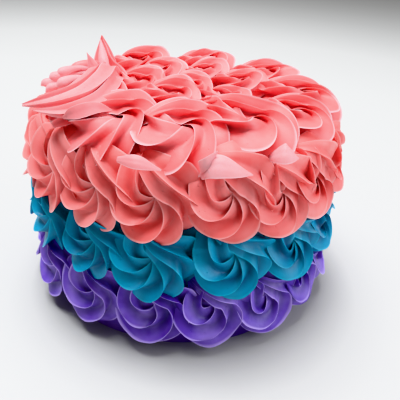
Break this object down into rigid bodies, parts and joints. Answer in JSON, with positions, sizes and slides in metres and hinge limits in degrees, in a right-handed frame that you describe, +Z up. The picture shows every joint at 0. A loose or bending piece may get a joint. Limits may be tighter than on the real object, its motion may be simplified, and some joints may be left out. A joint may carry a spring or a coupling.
{
  "type": "layer cake",
  "caption": "Tall round cake covered all over in piped buttercream rosettes, in violet, teal and coral bands, with a flat base to stand on.",
  "frame": {"origin": "centre of the flat base that the cake stands on", "axes": "+Z up, -Y towards the front that the picture shows, +X to the viewer's right"},
  "size_m": [0.2441, 0.2436, 0.177],
  "materials": {
    "coral_buttercream": "satin whipped buttercream",
    "teal_buttercream": "satin whipped buttercream",
    "violet_buttercream": "satin whipped buttercream"
  },
  "bodies": {
    "root": {"coral_icing": "coral_buttercream", "teal_icing": "teal_buttercream", "violet_icing": "violet_buttercream"}
  },
  "joints": []
}
